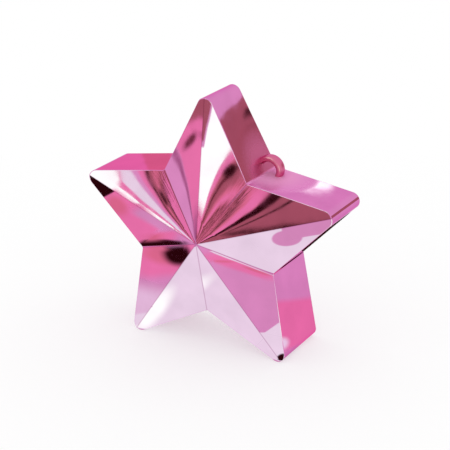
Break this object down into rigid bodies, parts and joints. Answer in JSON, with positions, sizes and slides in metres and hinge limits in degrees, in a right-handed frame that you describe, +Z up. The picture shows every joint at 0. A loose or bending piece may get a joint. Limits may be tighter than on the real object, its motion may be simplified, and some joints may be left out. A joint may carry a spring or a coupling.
{
  "type": "balloon weight",
  "caption": "Plated faceted star that stands on its two lower points, filled with sand, with an arched ribbon loop, to hold balloons down.",
  "frame": {"origin": "on the surface that the star stands on, in the middle of its width and depth", "axes": "+X to the right seen from the front, +Y to the back, +Z up"},
  "size_m": [0.0942, 0.0324, 0.09],
  "materials": {
    "plated_pink": "vacuum-metallised mirror plating, tinted pink",
    "plated_back": "vacuum-metallised plating, tinted pink, slightly softer than the front",
    "plug_plastic": "soft moulded polyethylene",
    "dry_sand": "dry washed sand"
  },
  "bodies": {
    "star": {"front_shell": "plated_pink", "ribbon_loop": "plated_pink", "back_cover": "plated_back", "sand_fill": "dry_sand"},
    "plug": {"filler_plug": "plug_plastic"}
  },
  "joints": [
    {"name": "plug_pull", "type": "slide", "parent": "star", "child": "plug", "axis": [0, 0.998, 0.0628], "range_m": [0, 0.012]}
  ]
}
